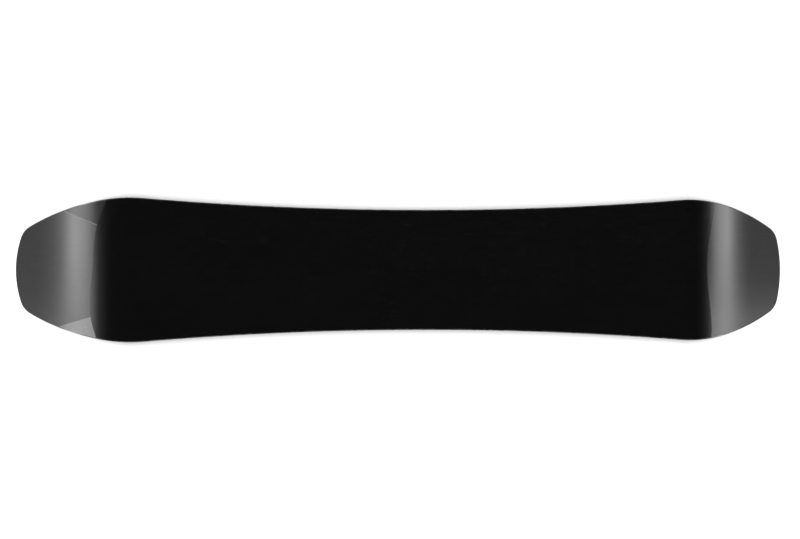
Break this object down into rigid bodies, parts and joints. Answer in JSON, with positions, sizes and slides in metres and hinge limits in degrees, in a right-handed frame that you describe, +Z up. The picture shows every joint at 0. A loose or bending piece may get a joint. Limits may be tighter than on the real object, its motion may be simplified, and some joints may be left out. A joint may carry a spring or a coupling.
{
  "type": "snowboard",
  "caption": "Directional all-mountain snowboard with cambered running base, upturned nose and tail, steel edges, wood core and two packs of threaded binding inserts.",
  "frame": {"origin": "middle of the board's length and width, on the plane that its two contact lines rest on", "axes": "-X towards the nose, +X towards the tail, +Z up out of the topsheet; the base faces down; -Y is the left side seen from the tail towards the nose"},
  "size_m": [1.5936, 0.3014, 0.0564],
  "materials": {
    "base_black": "black sintered polyethylene base, waxed satin",
    "base_grey": "mid grey sintered polyethylene base, waxed satin",
    "base_dark_grey": "darker grey sintered polyethylene base, waxed satin",
    "base_light_grey": "light grey sintered polyethylene base, waxed satin",
    "edge_steel": "hardened steel edge, ground",
    "rubber": "thin black damping foil",
    "glass_fibre": "resin-impregnated glass fabric",
    "mat_glass": "glass reinforcement mat",
    "poplar": "planed pale wood strip",
    "beech": "planed darker wood strip",
    "sidewall_abs": "black planed sidewall",
    "spacer_abs": "black tip spacer",
    "insert_steel": "stainless threaded insert",
    "topsheet": "plain dark satin topsheet"
  },
  "bodies": {
    "root": {"base_centre": "base_black", "base_nose": "base_grey", "base_nose_corner_left": "base_dark_grey", "base_nose_corner_right": "base_light_grey", "base_tail": "base_grey", "edge_nose": "edge_steel", "edge_left": "edge_steel", "edge_right": "edge_steel", "edge_tail": "edge_steel", "damping_foil_left": "rubber", "damping_foil_right": "rubber", "lower_glass": "glass_fibre", "upper_glass": "glass_fibre", "sidewall_left": "sidewall_abs", "sidewall_right": "sidewall_abs", "tip_spacer_nose": "spacer_abs", "tip_spacer_tail": "spacer_abs", "insert_mat_front": "mat_glass", "insert_mat_rear": "mat_glass", "topsheet": "topsheet", "core_strip_01": "beech", "core_strip_02": "poplar", "core_strip_03": "beech", "core_strip_04": "poplar", "core_strip_05": "beech", "core_strip_06": "poplar", "core_strip_07": "beech", "core_strip_08": "poplar", "core_strip_09": "beech", "core_strip_10": "poplar", "core_strip_11": "beech", "insert_front_left_1": "insert_steel", "insert_front_left_2": "insert_steel", "insert_front_left_3": "insert_steel", "insert_front_left_4": "insert_steel", "insert_front_left_5": "insert_steel", "insert_front_left_6": "insert_steel", "insert_front_right_1": "insert_steel", "insert_front_right_2": "insert_steel", "insert_front_right_3": "insert_steel", "insert_front_right_4": "insert_steel", "insert_front_right_5": "insert_steel", "insert_front_right_6": "insert_steel", "insert_rear_left_1": "insert_steel", "insert_rear_left_2": "insert_steel", "insert_rear_left_3": "insert_steel", "insert_rear_left_4": "insert_steel", "insert_rear_left_5": "insert_steel", "insert_rear_left_6": "insert_steel", "insert_rear_right_1": "insert_steel", "insert_rear_right_2": "insert_steel", "insert_rear_right_3": "insert_steel", "insert_rear_right_4": "insert_steel", "insert_rear_right_5": "insert_steel", "insert_rear_right_6": "insert_steel"}
  },
  "joints": []
}
